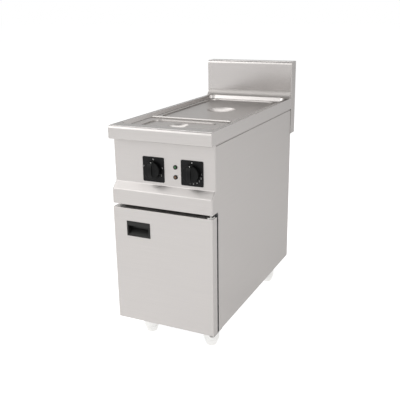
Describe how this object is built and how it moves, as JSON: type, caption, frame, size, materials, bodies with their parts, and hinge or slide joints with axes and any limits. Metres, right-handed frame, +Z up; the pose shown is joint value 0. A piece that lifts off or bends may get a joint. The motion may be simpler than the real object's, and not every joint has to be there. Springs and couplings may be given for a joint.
{
  "type": "sauce bain-marie",
  "caption": "Free-standing stainless bain-marie: lidded sauce containers in a heated water well over a cupboard, with rotary controls, upstand and levelling feet.",
  "frame": {"origin": "on the floor, under the middle of the body's overall box", "axes": "+Z up, -Y towards the user in front, +X to the user's right"},
  "size_m": [0.4, 0.9, 1.007],
  "materials": {
    "satin_stainless": "fine brushed satin",
    "bright_stainless": "bright annealed, lightly brushed",
    "lid_stainless": "fine satin, drawn",
    "galvanised_steel": "dull galvanised",
    "zinc_steel": "bright zinc",
    "black_plastic": "satin moulded",
    "dial_plate": "printed satin",
    "grey_nylon": "moulded",
    "green_lens": "clear tinted",
    "amber_lens": "clear tinted",
    "polished_stainless": "polished, turned",
    "valve_brass": "turned",
    "silicone_heater": "moulded sheet",
    "switch_plastic": "moulded",
    "wire_sleeve": "braided sleeve",
    "copper_capillary": "drawn copper"
  },
  "bodies": {
    "cabinet": {"worktop": "satin_stainless", "upstand": "bright_stainless", "left_side_panel": "satin_stainless", "right_side_panel": "satin_stainless", "back_panel": "galvanised_steel", "base_panel": "galvanised_steel", "deck_panel": "galvanised_steel", "control_panel": "satin_stainless", "left_front_post": "galvanised_steel", "right_front_post": "galvanised_steel", "left_rear_post": "galvanised_steel", "right_rear_post": "galvanised_steel", "panel_screws": "zinc_steel", "water_well": "satin_stainless", "heating_mat": "silicone_heater", "pan_bridge_bar": "satin_stainless", "selector_plate": "dial_plate", "selector_switch": "switch_plastic", "thermostat_plate": "dial_plate", "thermostat_body": "switch_plastic", "thermostat_bulb": "copper_capillary", "control_nuts": "zinc_steel", "green_lamp_body": "black_plastic", "green_lamp_lens": "green_lens", "amber_lamp_body": "black_plastic", "amber_lamp_lens": "amber_lens", "terminal_block": "switch_plastic", "wiring_loom": "wire_sleeve", "cable_gland": "black_plastic", "hinge_top_bush": "grey_nylon", "hinge_bottom_bracket": "zinc_steel", "magnet_catch": "black_plastic", "leg_nuts": "zinc_steel", "drain_spigot": "satin_stainless", "drain_valve_body": "valve_brass", "drain_tailpipe": "satin_stainless", "leg_front_left": "polished_stainless", "leg_front_right": "polished_stainless", "leg_rear_left": "polished_stainless", "leg_rear_right": "polished_stainless"},
    "door": {"door_skin": "satin_stainless", "door_liner": "galvanised_steel", "door_handle": "black_plastic", "hinge_top_plate": "zinc_steel", "hinge_bottom_bush": "grey_nylon", "strike_plate": "zinc_steel"},
    "selector": {"selector_knob": "black_plastic", "selector_spindle": "zinc_steel"},
    "thermostat": {"thermostat_knob": "black_plastic", "thermostat_spindle": "zinc_steel"},
    "front_container": {"front_pan": "lid_stainless"},
    "front_cover": {"front_lid": "lid_stainless"},
    "rear_container": {"rear_pan": "lid_stainless"},
    "rear_cover": {"rear_lid": "lid_stainless"},
    "drain_handle": {"drain_lever": "zinc_steel", "drain_ball": "valve_brass"},
    "front_left_foot": {"foot_front_left": "polished_stainless"},
    "front_right_foot": {"foot_front_right": "polished_stainless"},
    "rear_left_foot": {"foot_rear_left": "polished_stainless"},
    "rear_right_foot": {"foot_rear_right": "polished_stainless"}
  },
  "joints": [
    {"name": "door_swing", "type": "hinge", "parent": "cabinet", "child": "door", "pos_m": [0.188, -0.4353, 0.3298], "axis": [0, 0, 1], "range_deg": [0, 110]},
    {"name": "selector_turn", "type": "hinge", "parent": "cabinet", "child": "selector", "pos_m": [-0.0385, -0.4211, 0.699], "axis": [0, 1, 0], "range_deg": [-76, 121]},
    {"name": "thermostat_turn", "type": "hinge", "parent": "cabinet", "child": "thermostat", "pos_m": [0.112, -0.4211, 0.699], "axis": [0, 1, 0], "range_deg": [0, 192]},
    {"name": "drain_turn", "type": "hinge", "parent": "cabinet", "child": "drain_handle", "pos_m": [0, 0.301, 0.4908], "axis": [0, 1, 0], "range_deg": [0, 90]},
    {"name": "front_pan_lift", "type": "slide", "parent": "cabinet", "child": "front_container", "axis": [0, 0, 1], "range_m": [0, 0.2]},
    {"name": "front_lid_lift", "type": "slide", "parent": "front_container", "child": "front_cover", "axis": [0, 0, 1], "range_m": [0, 0.15]},
    {"name": "rear_pan_lift", "type": "slide", "parent": "cabinet", "child": "rear_container", "axis": [0, 0, 1], "range_m": [0, 0.2]},
    {"name": "rear_lid_lift", "type": "slide", "parent": "rear_container", "child": "rear_cover", "axis": [0, 0, 1], "range_m": [0, 0.15]},
    {"name": "front_left_level", "type": "slide", "parent": "cabinet", "child": "front_left_foot", "axis": [0, 0, -1], "range_m": [0, 0.03]},
    {"name": "front_right_level", "type": "slide", "parent": "cabinet", "child": "front_right_foot", "axis": [0, 0, -1], "range_m": [0, 0.03]},
    {"name": "rear_left_level", "type": "slide", "parent": "cabinet", "child": "rear_left_foot", "axis": [0, 0, -1], "range_m": [0, 0.03]},
    {"name": "rear_right_level", "type": "slide", "parent": "cabinet", "child": "rear_right_foot", "axis": [0, 0, -1], "range_m": [0, 0.03]}
  ]
}
